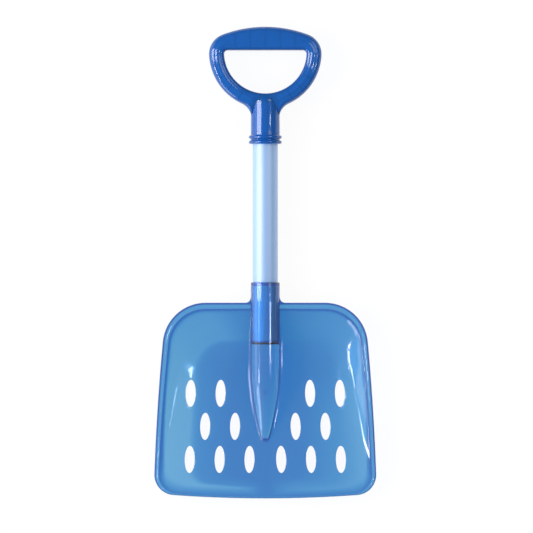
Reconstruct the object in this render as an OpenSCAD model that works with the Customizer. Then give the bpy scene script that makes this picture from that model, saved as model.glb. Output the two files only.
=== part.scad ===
// Sand shovel with a scoop blade, a tube shaft and a D-grip.
// It lies on its back: +Z is up, out of the open face of the scoop, +Y runs along the shaft to the grip,
// and X is across. The origin is under the middle of the whole shovel, on the surface it lies on.

/* [Tube] */
// Outer diameter of the tube
tube_d = 25; // [22:0.5:28]
// Wall of the tube
tube_wall = 1.2; // [0.8:0.1:2.5]
// Length of the tube
tube_len = 239; // [200:1:320]

/* [Sockets] */
// Wall of both sockets round the tube
socket_wall = 1.95; // [1.6:0.05:3]
// Radial clearance of the tube in both sockets
tube_clear = 0.05; // [0.02:0.01:0.15]
// Depth to which the blade's socket takes the tube
blade_socket_depth = 60; // [45:1:70]
// Depth to which the grip's socket takes the tube
grip_socket_depth = 40.8; // [34:0.2:44]
// Cross radius of the two rings at the mouth of the grip's socket
ring_r = 1.85; // [1.4:0.05:2.1]
// How far the rings stand out of the socket
ring_out = 2.1; // [1.5:0.1:2.6]
// Distance between the two rings
ring_pitch = 5.1; // [4.4:0.1:6]

/* [Blade] */
// Widest width of the blade, near its lip
blade_w = 222; // [200:1:240]
// Width of the blade where its back corners end
blade_back_w = 205.4; // [190:0.2:215]
// Length of the blade from its back edge to its lip
blade_len = 195.8; // [180:0.2:215]
// Radius of the two back corners
back_corner_r = 43; // [34:1:48]
// Radius of the two lip corners
lip_corner_r = 20.4; // [14:0.2:24]
// How far the middle of the lip stands out past its ends
lip_bow = 3.3; // [1:0.1:5]
// Wall of the blade
blade_wall = 2.4; // [1.8:0.1:3]
// Height of the top of the rim at the back
rim_z = 19; // [17:0.5:21]
// Height of the top of the lip
lip_z = 16.5; // [12:0.5:17]
// Width of the rim's flange along the back
flange_back_w = 7.4; // [5:0.1:9]
// Width of the rim's flange along the sides
flange_side_w = 6.5; // [4.5:0.1:8]
// Depth of the turned-down edge of the rim
rim_edge_h = 3.8; // [3.2:0.1:5]
// Thickness of the turned-down edge of the rim
rim_edge_t = 1.6; // [1.2:0.1:2.4]
// Run of the back wall, from the flange down to the floor
back_wall_run = 31; // [22:1:38]
// Run of each side wall at the back, from the flange in to the floor
side_wall_run = 27; // [18:1:32]
// Run of each side wall near the lip
front_wall_run = 32; // [26:1:36]
// Length of the flat under the heel that the blade rests on
heel_len = 16; // [10:1:24]

/* [Ridge] */
// Length by which the blade's socket stands out past its back edge
socket_out = 20.4; // [14:0.2:26]
// Length of the ridge from the blade's back edge to its point
ridge_len = 139.6; // [125:0.2:145]
// Length at the point's end over which the ridge narrows
ridge_taper_len = 74.6; // [60:0.2:76]
// Length at the point's end over which the ridge's crown falls to the floor
crown_fall_len = 66; // [54:1:72]
// Width of the fillet at the foot of the ridge
ridge_foot = 3.6; // [2:0.1:5]
// Step from the socket down to the ridge
ridge_step = 0.4; // [0.3:0.1:2]

/* [Drain holes] */
// Length of a drain hole
hole_len = 27; // [22:0.5:29]
// Width of a drain hole
hole_w = 9.9; // [7:0.1:12]
// Distance between the holes of a row
hole_pitch = 29.9; // [28:0.1:31]
// Distance between the rows of holes
row_pitch = 33; // [30:0.5:34]
// Distance from the lip to the middle of the nearest row
row_inset = 38.9; // [34:0.1:44]
// Angle by which the holes fan out towards the lip
hole_fan = 1.1; // [0:0.1:3]

/* [Grip] */
// Outer radius of the round part of the grip
grip_r = 56.4; // [52:0.2:62]
// Radius of the hand opening
opening_r = 41.1; // [38:0.1:43]
// Radius of the grip's arched top
grip_top_r = 122; // [100:1:160]
// Radius of the grip's upper corners
grip_corner_r = 21; // [16:0.5:24]
// Radius of the hand opening's upper corners
opening_corner_r = 3.6; // [2:0.2:6]
// Height of the opening's straight edge above the centre of its round part
opening_rise = 1.9; // [0:0.1:4]
// Height of the grip's top above the centre of its round part
grip_rise = 25.5; // [24:0.1:28]
// Distance from the socket's mouth to the centre of the grip's round part
grip_centre = 91.7; // [88:0.1:98]
// Depth of the grip from front to back
grip_depth = 25; // [20:0.5:29]
// Wall of the grip
grip_wall = 2.3; // [1.8:0.1:3]
// Front edge radius along the outside of the grip
grip_edge_r = 6.5; // [4:0.5:7.5]
// Front edge radius along the hand opening
opening_edge_r = 4.5; // [3:0.5:6]
// Radius where the grip flares out of its socket
flare_r = 17; // [10:0.5:20]
// Thickness of the stiffening ribs
rib_t = 1.4; // [1:0.1:2]
// Distance between the ribs of the hand bar
rib_pitch = 14.9; // [12:0.1:16]
// Angle between the ribs of the arms
rib_angle = 15; // [12:0.5:18]

/* [Screws] */
// Diameter of the screws' shanks
screw_d = 3; // [2.5:0.1:3.5]
// Length of the screws under the head
screw_len = 8; // [7:0.5:10]
// Diameter of the screws' heads
screw_head_d = 5.8; // [5:0.1:6.5]
// Height of the screws' heads
screw_head_h = 1.3; // [1:0.1:1.6]

/* [Hidden] */
blade_color = [0.29, 0.54, 0.80];
tube_color = [0.78, 0.87, 0.96];
grip_color = [0.16, 0.36, 0.66];
screw_color = [0.75, 0.76, 0.78];

// One overrun for every cut
over = 1;
tube_r = tube_d / 2;
bore_r = tube_r + tube_clear;
socket_r = bore_r + socket_wall;
ring_out_r = socket_r + ring_out;
// The rings at the grip's mouth and the blade's heel lie on the surface, so they set the shaft's height
axis_z = ring_out_r;

// Places along the shovel
overall_len = blade_len + socket_out + tube_len - blade_socket_depth - grip_socket_depth
    + grip_centre + grip_rise;
lip_y = -overall_len / 2;
rim_y = lip_y + blade_len;
blade_mouth_y = rim_y + socket_out;
tube_y = blade_mouth_y - blade_socket_depth;
grip_mouth_y = tube_y + tube_len - grip_socket_depth;
grip_centre_y = grip_mouth_y + grip_centre;

// Steps of the curves
back_steps = 5;
corner_steps = 8;
side_steps = 8;
lip_corner_steps = 7;
lip_steps = 6;
floor_steps = 3;
side_angle = 5.2;
lip_angle = 4.2;
side_bow_share = 0.46;

function mix(a, b, t) = a + (b - a) * t;
function arc(c, r, a0, a1, n) = [for (i = [0:n - 1]) let (a = mix(a0, a1, i / n)) c + r * [cos(a), sin(a)]];
function mirrored(half) = concat(half, [for (i = [len(half) - 2:-1:1]) [-half[i].x, half[i].y]]);

// Right half of a loop round the blade, from the middle of its back to the middle of its lip
function blade_loop(back_y, back_r, back_x, front_x, front_y, front_r, end_y) =
    let (back_c = [back_x - back_r, back_y - back_r],
         front_c = [front_x - front_r, front_y],
         side_a = back_c + back_r * [cos(side_angle), sin(side_angle)],
         side_b = [front_x, front_y],
         lip_a = front_c + front_r * [sin(lip_angle), -cos(lip_angle)])
    mirrored(concat(
        [for (i = [0:back_steps - 1]) [back_c.x * i / back_steps, back_y]],
        arc(back_c, back_r, 90, side_angle, corner_steps),
        [for (i = [0:side_steps - 1]) let (u = i / side_steps)
            [mix(side_a.x, side_b.x, u + side_bow_share * u * (1 - u)), mix(side_a.y, side_b.y, u)]],
        arc(front_c, front_r, 0, lip_angle - 90, lip_corner_steps),
        [for (i = [0:lip_steps]) let (u = 1 - i / lip_steps)
            [lip_a.x * u, mix(end_y, lip_a.y, u * u)]]));

// The three loops of the blade: its outline, the inner line of its flange, and the edge of its floor
lip_corner_y = lip_y + lip_bow + lip_corner_r;
flange_front_w = flange_side_w * 0.8;
lip_land = 2.1;
outline = blade_loop(rim_y, back_corner_r, blade_back_w / 2,
    blade_w / 2, lip_corner_y, lip_corner_r, lip_y);
flange_line = blade_loop(rim_y - flange_back_w, back_corner_r - flange_side_w,
    blade_back_w / 2 - flange_side_w, blade_w / 2 - flange_front_w,
    lip_corner_y, lip_corner_r - lip_land, lip_y + lip_land);
floor_corner_r = (back_corner_r - flange_side_w) * 0.85;
floor_front_x = blade_w / 2 - flange_front_w - front_wall_run;
floor_front_r = lip_corner_r * 0.8;
floor_land = 11;
floor_line = blade_loop(rim_y - flange_back_w - back_wall_run, floor_corner_r,
    blade_back_w / 2 - flange_side_w - side_wall_run, floor_front_x,
    lip_y + lip_bow + floor_land + floor_front_r, floor_front_r, lip_y + floor_land);

// Height of the top of the floor: flat over the heel, then bent up and straight to the lip
heel_y = rim_y - flange_back_w - back_wall_run - heel_len;
heel_bend = 30;
function ramp(q) = q < 0 ? 0 : q < heel_bend ? q * q / (2 * heel_bend) : q - heel_bend / 2;
floor_slope = (lip_z - blade_wall) / ramp(heel_y - lip_y);
function floor_at(y) = blade_wall + floor_slope * ramp(heel_y - y);
function rim_at(y) = mix(rim_z, lip_z, (rim_y - y) / blade_len);

// Depth of the turned-down edge: full round the rim, and little more than the wall along the lip
lip_edge = 0.4;
function edge_at(y) =
    let (q = min(1, max(0, (lip_corner_y + lip_corner_r - y) / (2 * lip_corner_r))))
    mix(rim_edge_h, blade_wall + lip_edge, q * q * (3 - 2 * q));

// How the walls fall from the flange to the floor: places along the run, and there the height left and the
// slope. A side wall falls steeply to a crease and then slants in, and the back wall is one even slope.
wall_run_shares = [0, 0.05, 0.14, 0.26, 0.35, 0.41, 0.62, 0.85, 1];
steep_left_shares = [1, 0.845, 0.589, 0.276, 0.064, 0, 0, 0, 0];
steep_slope_shares = [3.21, 3.01, 2.73, 2.48, 2.16, 0, 0, 0, 0];
slant_left_shares = [1, 1, 1, 1, 1, 0.945, 0.564, 0.158, 0];
slant_slope_shares = [0, 0, 0, 0, 0, 1.83, 1.79, 1.74, 0.37];
back_left_shares = [1, 0.867, 0.765, 0.646, 0.557, 0.498, 0.292, 0.071, 0];
back_slope_shares = [3.72, 1.6, 1.01, 0.99, 0.99, 0.98, 0.98, 0.83, 0.06];
wall_steps = len(wall_run_shares) - 1;

// The crease lies nearer to the rim towards the lip, and more of the wall's height is left for the slant
table_crease_share = 0.38;
back_blend_power = 1.7;
crease_shares = [[0.276, 0.54], [0.327, 0.44], [0.398, 0.37], [0.664, 0.23], [0.889, 0.17], [0.955, 0.13]];
slant_part_shares = [[0.398, 0.24], [0.664, 0.45]];
function stretch(share, crease) =
    share < table_crease_share ? crease / table_crease_share : (1 - crease) / (1 - table_crease_share);
function side_share(share, crease) =
    share < table_crease_share ? share * stretch(share, crease) : 1 - (1 - share) * stretch(share, crease);

function wall_point(i, k, under) =
    let (p = flange_line[i], q = floor_line[i], run = norm(q - p), dir = (q - p) / run,
         rise = max(0, rim_at(p.y) - floor_at(p.y)),
         backness = pow(max(0, -dir.y), back_blend_power),
         share = wall_run_shares[k],
         crease = lookup((rim_y - p.y) / blade_len, crease_shares),
         slant = lookup((rim_y - p.y) / blade_len, slant_part_shares),
         at = p + dir * run * mix(side_share(share, crease), share, backness),
         side_left = mix(steep_left_shares[k], slant_left_shares[k], slant),
         side_slope = mix(steep_slope_shares[k], slant_slope_shares[k], slant) / stretch(share, crease),
         z = floor_at(at.y) + rise * mix(side_left, back_left_shares[k], backness),
         slope_up = rise * mix(side_slope, back_slope_shares[k], backness),
         size = norm([run, slope_up]),
         out = under ? blade_wall * slope_up / size : 0,
         down = under ? blade_wall * run / size : 0,
         back = at - dir * out)
    [back.x, back.y, under ? min(z - down, rim_at(p.y) - blade_wall) : z];

// A point of the flange, in from the outline by a share of the flange, at a depth under its top
function flange_point(i, share, depth) =
    let (p = mix(outline[i], flange_line[i], share)) [p.x, p.y, rim_at(p.y) - depth];

// The middle loop of the floor, and a point between it and the floor's edge
loop_n = len(outline);
half_n = loop_n / 2;
spine_x = blade_w / 20;
spine_y = (heel_y + lip_y + floor_land) / 2;
spine_len = (heel_y - lip_y - floor_land) * 0.4;
function spine(i) = let (a = 90 - 180 * i / half_n) [spine_x * cos(a), spine_y + spine_len * sin(a)];
function floor_point(i, share, depth) =
    let (p = mix(floor_line[i], spine(i), share)) [p.x, p.y, floor_at(p.y) - depth];

rim_round = 0.6;
edge_share = rim_edge_t / flange_back_w;
round_share = rim_round / flange_back_w;
round_ring = [[0, rim_round], [round_share, 0]];
every = [0:loop_n - 1];
top_rings = concat(
    [for (s = round_ring) [for (i = every) flange_point(i, s[0], s[1])]],
    [for (k = [0:wall_steps]) [for (i = every) wall_point(i, k, false)]],
    [for (k = [1:floor_steps]) [for (i = every) floor_point(i, k / floor_steps, 0)]]);
under_rings = concat(
    [for (k = [floor_steps:-1:1]) [for (i = every) floor_point(i, k / floor_steps, blade_wall)]],
    [for (k = [wall_steps:-1:0]) [for (i = every) wall_point(i, k, true)]],
    [[for (i = every) flange_point(i, edge_share, blade_wall)]],
    [for (s = [edge_share, 0]) [for (i = every) flange_point(i, s, edge_at(outline[i].y))]]);

// Faces between the rings of a closed loft, and across the first and last ring from side to side
function band(a, b, n) = [for (i = [0:n - 1]) let (j = (i + 1) % n)
    each [[a + i, a + j, b + j], [a + i, b + j, b + i]]];
function zip(a, n, flip) = [for (i = [0:n / 2 - 1]) let (l = (n - i) % n, m = n - i - 1)
    each concat(i == 0 ? [] : [flip ? [a + i, a + l, a + i + 1] : [a + i, a + i + 1, a + l]],
                i == n / 2 - 1 ? [] : [flip ? [a + i + 1, a + l, a + m] : [a + i + 1, a + m, a + l]])];

module pan() {
    rings = concat(top_rings, under_rings);
    top_n = len(top_rings);
    all_n = len(rings);
    faces = concat(
        [for (k = [0:all_n - 1]) if (k != top_n - 1)
            each band(k * loop_n, ((k + 1) % all_n) * loop_n, loop_n)],
        zip((top_n - 1) * loop_n, loop_n, false),
        zip(top_n * loop_n, loop_n, true));
    polyhedron([for (r = rings) each r], faces, convexity = 10);
}

// The ridge: a round crown on upright flanks with a flared foot, narrowing and falling to a point
ridge_r = socket_r - ridge_step;
ridge_end_y = rim_y - ridge_len;
ridge_start_share = 0.08;
ridge_start_y = rim_y - flange_back_w - ridge_start_share * back_wall_run;
taper_power = 1.95;
point_share = 0.2;
crown_end_share = 0.05;
function ridge_half(y) =
    let (q = max(0, (ridge_end_y + ridge_taper_len - y) / ridge_taper_len))
    ridge_r * (1 - (1 - point_share) * pow(q, taper_power));
crown_bend = 0.2;
function fall(q) = q < crown_bend ? q * q / (2 * crown_bend) : q - crown_bend / 2;
function crown_at(y) =
    let (q = max(0, (ridge_end_y + crown_fall_len - y) / crown_fall_len))
    mix(axis_z + ridge_r, floor_at(ridge_end_y) + ridge_r * crown_end_share, fall(q) / fall(1));

// Height of the blade's top side along its middle: the floor, and the back wall up to its flange
function middle_at(y) =
    let (q = min(1, max(0, (rim_y - flange_back_w - y) / back_wall_run)),
         left = lookup(q, [for (k = [0:wall_steps]) [wall_run_shares[k], back_left_shares[k]]]))
    floor_at(y) + (rim_at(rim_y - flange_back_w) - floor_at(y)) * left;

// A section across the ridge, set in by a wall. The hollow one reaches below the floor, and the outer one
// has a foot, which dies away up the back wall.
ridge_steps = 20;
crown_steps = 12;
foot_shares = [[0.7, 0.07], [0.3, 0.4], [0.06, 1]];
foot_start_share = 0.02;
function ridge_section(y, wall, hollow) =
    let (f = middle_at(y), w = ridge_half(y) - wall, h = crown_at(y) - wall - f,
         away = min(1, max(foot_start_share, (ridge_start_y - y) / back_wall_run)),
         base = max(h - w, h * 0.45 * away),
         foot = ridge_foot * min(1, h / ridge_foot / 2) * away, foot_h = min(ridge_foot * 0.7, h * 0.35),
         right = concat(
            hollow ? [[w, -over - f]] : [[w + foot, -blade_wall / 2]],
            hollow ? [] : [for (s = foot_shares) [w + foot * s[0], foot_h * s[1] * away]],
            [for (i = [0:crown_steps / 2 - 1]) let (a = 180 * i / crown_steps)
                [w * cos(a), base + (h - base) * sin(a)]]),
         left = [for (i = [len(right) - 1:-1:0]) [-right[i].x, right[i].y]])
    [for (p = concat(right, [[0, h]], left)) [p.x, y, f + p.y]];

module ridge_loft(y0, y1, wall, hollow) {
    ys = [for (i = [0:ridge_steps]) mix(y0, y1, i / ridge_steps)];
    sections = [for (y = ys) ridge_section(y, wall, hollow)];
    n = len(sections[0]);
    faces = concat([[for (i = [n - 1:-1:0]) i]],
        [for (k = [0:ridge_steps - 1]) each band(k * n, (k + 1) * n, n)],
        [[for (i = [0:n - 1]) ridge_steps * n + i]]);
    polyhedron([for (s = sections) each s], faces, convexity = 6);
}

// A round solid along the shaft, from one place to another
module along_shaft(y0, y1, r) {
    translate([0, y0, axis_z]) rotate([-90, 0, 0]) cylinder(h = y1 - y0, r = r, $fn = 64);
}

// One drain hole, as a cut through the floor
module drain_hole(x, y) {
    translate([x, y, -over]) rotate([0, 0, sign(x) * hole_fan]) scale([hole_w / hole_len, 1, 1])
        cylinder(h = rim_z + over, d = hole_len, $fn = 40);
}

// Rows of holes from the lip up: the holes' places in pitches from the middle, and how far each row is spread
hole_rows = [[[0.5, 1.5, 2.5], 0.03], [[1, 2], 0.015], [[1.5, 2.5], 0]];
module drain_holes() {
    for (k = [0:len(hole_rows) - 1], share = hole_rows[k][0], side = [-1, 1])
        drain_hole(side * hole_pitch * (share + hole_rows[k][1]), lip_y + row_inset + k * row_pitch);
}

// Screws go in from behind, through the socket and the tube's wall
screw_inset = 10.5;
blade_screw_y = blade_mouth_y - screw_inset;
grip_screw_y = grip_mouth_y + ring_pitch + 2 * ring_r + screw_inset;
seat_depth = 0.55;
seat_z = axis_z - socket_r + seat_depth;
seat_clear = 0.15;
hole_clear = 0.05;
module screw_cut(y) {
    translate([0, y, -over]) cylinder(h = seat_z + over, d = screw_head_d + 2 * seat_clear, $fn = 40);
    translate([0, y, 0]) cylinder(h = axis_z, d = screw_d + 2 * hole_clear, $fn = 32);
}

socket_end_wall = 2;
gate_r = 3;
gate_h = 0.3;
gate_inset = 88.7;
gate_y = rim_y - gate_inset;
web_r = 5;
web_gap_share = 0.96;
module gate_mark() {
    translate([0, gate_y, crown_at(gate_y) - gate_r]) cylinder(h = gate_r + gate_h, r = gate_r, $fn = 32);
}

// Fillet between the rim's back edge and the side of the socket
web_low = rim_z - rim_edge_h * 0.8;
web_h = rim_edge_h * 0.55;
module edge_webs() {
    translate([0, 0, web_low]) linear_extrude(height = web_h) difference() {
        translate([-socket_r - web_r, rim_y - rim_edge_t / 2])
            square([2 * (socket_r + web_r), web_r + rim_edge_t / 2]);
        for (side = [-1, 1]) translate([side * (socket_r + web_r), rim_y + web_r])
            circle(r = web_r * web_gap_share, $fn = 40);
    }
}

module blade() color(blade_color) {
    difference() {
        union() {
            pan();
            ridge_loft(ridge_end_y, ridge_start_y, 0, false);
            along_shaft(tube_y - socket_end_wall, blade_mouth_y, socket_r);
            edge_webs();
            gate_mark();
        }
        ridge_loft(ridge_end_y + ridge_taper_len * 0.12, tube_y - socket_end_wall, blade_wall, true);
        along_shaft(tube_y, blade_mouth_y + over, bore_r);
        drain_holes();
        screw_cut(blade_screw_y);
    }
}

module shaft_tube() color(tube_color) {
    difference() {
        along_shaft(tube_y, tube_y + tube_len, tube_r);
        along_shaft(tube_y - over, tube_y + tube_len + over, tube_r - tube_wall);
        for (y = [blade_screw_y, grip_screw_y])
            translate([0, y, 0]) cylinder(h = axis_z, d = screw_d + 2 * hole_clear, $fn = 32);
    }
}

// The grip's outline: an arched top and a round bottom, joined by corners that touch both arcs, and
// hollow curves that flare the round part into the socket
grip_steps = 6;
arm_steps = 11;
bar_steps = 6;
flare_steps = 6;
top_c = grip_rise - grip_top_r;
corner_low = grip_r - grip_corner_r;
corner_high = grip_top_r - grip_corner_r;
corner_y = (corner_low * corner_low - corner_high * corner_high + top_c * top_c) / (2 * top_c);
corner_x = sqrt(corner_low * corner_low - corner_y * corner_y);
top_angle = atan2(corner_y - top_c, corner_x);
low_angle = atan2(corner_y, corner_x);
flare_sink = 0.8;
flare_x = socket_r - flare_sink + flare_r;
flare_c = [flare_x, -sqrt(pow(grip_r + flare_r, 2) - flare_x * flare_x)];
flare_angle = atan2(flare_c.y, flare_c.x);
grip_outline = mirrored(concat(
    [for (i = [0:bar_steps - 1]) let (a = mix(90, top_angle, i / bar_steps))
        [grip_top_r * cos(a), top_c + grip_top_r * sin(a)]],
    arc([corner_x, corner_y], grip_corner_r, top_angle, low_angle, grip_steps),
    arc([0, 0], grip_r, low_angle, flare_angle, arm_steps),
    arc(flare_c, flare_r, flare_angle + 180, 180, flare_steps),
    [[flare_x - flare_r, flare_c.y], [0, flare_c.y]]));

// The hand opening: a straight top edge, small corners and a round bottom
open_corner_x = sqrt(pow(opening_r - opening_corner_r, 2) - pow(opening_rise - opening_corner_r, 2));
open_corner = [open_corner_x, opening_rise - opening_corner_r];
open_angle = atan2(open_corner.y, open_corner.x);
hand_outline = mirrored(concat(
    [for (i = [0:bar_steps - 1]) [open_corner.x * i / bar_steps, opening_rise]],
    arc(open_corner, opening_corner_r, 90, open_angle, grip_steps),
    arc([0, 0], opening_r, open_angle, flare_angle, arm_steps),
    arc([0, 0], opening_r, flare_angle, -90, flare_steps + 1), [[0, -opening_r]]));

// How much of the grip's full depth each point of its outline has: less where it flares into the socket
flare_depth_share = 0.35;
function depth_share(p) =
    let (q = min(1, max(0, (grip_r * sin(flare_angle) - p.y) / (grip_r * sin(flare_angle) - flare_c.y))))
    1 - (1 - flare_depth_share) * q * q;

grip_crown = 0.8;
edge_steps = 4;

// Half of a rounded channel section, from its open back up to the front face: how far in it is from the
// edge, and its height over the shaft's middle
edge_angles = [for (k = [0:edge_steps]) 90 * k / edge_steps];
function channel_side(edge, r, inset) = concat([[edge, inset, -grip_depth / 2]],
    [for (a = edge_angles) [edge, inset + (r - inset) * (1 - cos(a)),
        grip_depth / 2 - inset - (r - inset) * (1 - sin(a))]]);
function backward(list) = [for (i = [len(list) - 1:-1:0]) list[i]];
function channel(inset) = concat(channel_side("out", grip_edge_r, inset),
    [["mid", 0, grip_depth / 2 - inset + grip_crown]], backward(channel_side("in", opening_edge_r, inset)));

// The ring of the grip between its outline and the hand opening: a channel, open at the back
module grip_ring() {
    n = len(grip_outline);
    section = concat(channel(0), backward(channel(grip_wall)));
    loops = [for (q = section) [for (i = [0:n - 1])
        let (a = grip_outline[i], b = hand_outline[i], dir = (b - a) / norm(b - a),
             p = q[0] == "out" ? a + dir * q[1] : q[0] == "in" ? b - dir * q[1] : (a + b) / 2,
             share = q[0] == "out" ? depth_share(a) : 1)
        [p.x, grip_centre_y + p.y, axis_z + q[2] * share]]];
    m = len(loops);
    polyhedron([for (l = loops) each l],
        [for (k = [0:m - 1]) each band(k * n, ((k + 1) % m) * n, n)], convexity = 8);
}

// A rib across the channel, from the hand opening outwards, with its ends in the middle of the walls
rib_back = 2.5;
module rib(len) {
    mid = grip_wall / 2;
    low = rib_back - grip_depth / 2;
    inner = [for (q = channel_side("in", opening_edge_r, mid)) [q[1], max(q[2], low)]];
    outer = [for (q = channel_side("out", grip_edge_r, mid)) [len - q[1], max(q[2], low)]];
    translate([0, 0, axis_z]) rotate([90, 0, 90]) linear_extrude(height = rib_t, center = true)
        polygon(concat(inner, backward(outer)));
}

// Stiffening ribs across the grip: upright ones in the hand bar and spokes in the arms
bar_ribs = 2;
arm_ribs = 4;
module grip_ribs() {
    for (k = [-bar_ribs:bar_ribs]) translate([k * rib_pitch, grip_centre_y + opening_rise, 0])
        rib(top_c + sqrt(pow(grip_top_r, 2) - pow(k * rib_pitch, 2)) - opening_rise);
    for (side = [-1, 1], k = [1:arm_ribs])
        translate([0, grip_centre_y, 0]) rotate([0, 0, -side * (90 + k * rib_angle)])
            translate([0, opening_r, 0]) rib(grip_r - opening_r);
}

// The closed end of the grip's socket, with a step that the tube stops at
stop_w = 3;
dome_r = 7;
socket_top_y = grip_centre_y - opening_r - dome_r / 6;
module socket_body() {
    translate([0, grip_mouth_y, axis_z]) rotate([-90, 0, 0]) rotate_extrude($fn = 64) {
        square([socket_r, socket_top_y - dome_r - grip_mouth_y]);
        square([socket_r - dome_r, socket_top_y - grip_mouth_y]);
        translate([socket_r - dome_r, socket_top_y - dome_r - grip_mouth_y]) circle(r = dome_r, $fn = 48);
        for (k = [0, 1]) translate([ring_out_r - ring_r, ring_r + k * ring_pitch])
            circle(r = ring_r, $fn = 32);
    }
}

module grip() color(grip_color) {
    difference() {
        union() {
            grip_ring();
            grip_ribs();
            socket_body();
        }
        along_shaft(grip_mouth_y - over, tube_y + tube_len, bore_r);
        along_shaft(grip_mouth_y, socket_top_y - dome_r / 2, bore_r - stop_w);
        screw_cut(grip_screw_y);
    }
}

// A pan-head screw, point up, with a cross slot in its head
slot_w = 0.9;
slot_share = 0.55;
slot_depth_share = 0.6;
tip_share = 0.2;
module screw(y) {
    translate([0, y, seat_z]) {
        difference() {
            union() {
                translate([0, 0, -screw_head_h])
                    cylinder(h = screw_head_h, d1 = screw_head_d * 0.8, d2 = screw_head_d, $fn = 40);
                cylinder(h = screw_len * (1 - tip_share), d = screw_d, $fn = 32);
                translate([0, 0, screw_len * (1 - tip_share)])
                    cylinder(h = screw_len * tip_share, d1 = screw_d, d2 = screw_d / 6, $fn = 32);
            }
            for (turn = [0, 90]) rotate([0, 0, turn])
                translate([-screw_head_d * slot_share / 2, -slot_w / 2, -screw_head_h - over])
                    cube([screw_head_d * slot_share, slot_w, over + screw_head_h * slot_depth_share]);
        }
    }
}

module blade_screw() color(screw_color) {
    screw(blade_screw_y);
}

module grip_screw() color(screw_color) {
    screw(grip_screw_y);
}

blade();
shaft_tube();
grip();
blade_screw();
grip_screw();
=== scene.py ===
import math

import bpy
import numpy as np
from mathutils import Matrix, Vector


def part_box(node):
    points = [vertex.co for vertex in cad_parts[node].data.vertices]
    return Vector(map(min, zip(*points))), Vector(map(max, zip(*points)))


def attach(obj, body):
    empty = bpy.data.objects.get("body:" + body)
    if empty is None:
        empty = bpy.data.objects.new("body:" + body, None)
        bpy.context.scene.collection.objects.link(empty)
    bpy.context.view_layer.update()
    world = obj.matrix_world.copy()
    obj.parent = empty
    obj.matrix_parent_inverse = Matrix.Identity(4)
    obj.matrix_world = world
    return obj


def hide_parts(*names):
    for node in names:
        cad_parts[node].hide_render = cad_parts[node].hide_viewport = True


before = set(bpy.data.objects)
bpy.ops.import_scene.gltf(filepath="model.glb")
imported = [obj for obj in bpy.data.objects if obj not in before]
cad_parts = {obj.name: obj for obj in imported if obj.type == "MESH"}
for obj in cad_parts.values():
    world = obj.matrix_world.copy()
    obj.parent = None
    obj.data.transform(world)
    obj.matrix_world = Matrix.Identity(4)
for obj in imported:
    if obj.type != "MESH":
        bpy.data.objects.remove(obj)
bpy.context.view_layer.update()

# %% [markdown]
# # A sand shovel
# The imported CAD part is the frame: it says where each piece is and how large it is.
# This script dresses it. Every piece is modelled again with finer curves, rounded edges and
# real wall thickness, and then takes the place of its CAD solid.
# The shovel lies on its back: the scoop opens upwards, and the shaft runs along +Y to the grip.

MM = 0.001

# %% [markdown]
# ## Measures
# All lengths are in millimetres, because that is how such a toy is drawn.
# Places along the shovel are counted from the CAD solids, so the new pieces land on them.

# %% Measures of the shaft and its sockets
tube_r, tube_wall = 12.5, 1.2
bore_r, socket_r = 12.55, 14.5
ring_r, ring_pitch, ring_out_r = 1.85, 5.1, 16.6
blade_len, grip_centre_in = 195.8, 91.7
axis_z = ring_out_r
lip_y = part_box("blade")[0].y / MM
mouth_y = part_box("blade")[1].y / MM
tube_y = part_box("shaft_tube")[0].y / MM
tube_end_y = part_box("shaft_tube")[1].y / MM
grip_mouth_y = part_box("grip")[0].y / MM
rim_y = lip_y + blade_len
grip_centre_y = grip_mouth_y + grip_centre_in
print("lip", round(lip_y, 1), "rim", round(rim_y, 1), "blade mouth", round(mouth_y, 1),
      "grip mouth", round(grip_mouth_y, 1))

# %% [markdown]
# ## Selecting
# Blender's operators work on what is selected, as they do by hand. So each step first clears the
# selection, and an edit of some faces or edges first picks them by where they are.


# %% Selecting
def deselect():
    """Nothing stays selected, so the next operator touches only the new piece."""
    if bpy.context.object and bpy.context.object.mode != "OBJECT":
        bpy.ops.object.mode_set(mode="OBJECT")
    bpy.ops.object.select_all(action="DESELECT")


def pick(piece, wanted, kind="FACE"):
    """Selects the faces, or edges, whose middle and direction pass a test. It ends in edit mode."""
    bpy.ops.object.mode_set(mode="EDIT")
    bpy.ops.mesh.select_mode(type=kind)
    bpy.ops.mesh.select_all(action="DESELECT")
    bpy.ops.object.mode_set(mode="OBJECT")
    mesh = piece.data
    if kind == "FACE":
        for face in mesh.polygons:
            face.select = wanted(face.center / MM, face.normal)
    else:
        for edge in mesh.edges:
            a, b = (mesh.vertices[v].co / MM for v in edge.vertices)
            edge.select = wanted((a + b) / 2, (b - a).normalized())
    bpy.ops.object.mode_set(mode="EDIT")


# %% [markdown]
# ## Lofts
# Most moulded pieces here are lofts: a section that changes its shape along the piece.
# By hand, that is a circle of points which is extruded again and again, and each new ring is
# moved into its place. `loft` does just that, so every ring can follow a formula. A round piece
# is a loft too, of circles, as a lathe would turn it.


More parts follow.
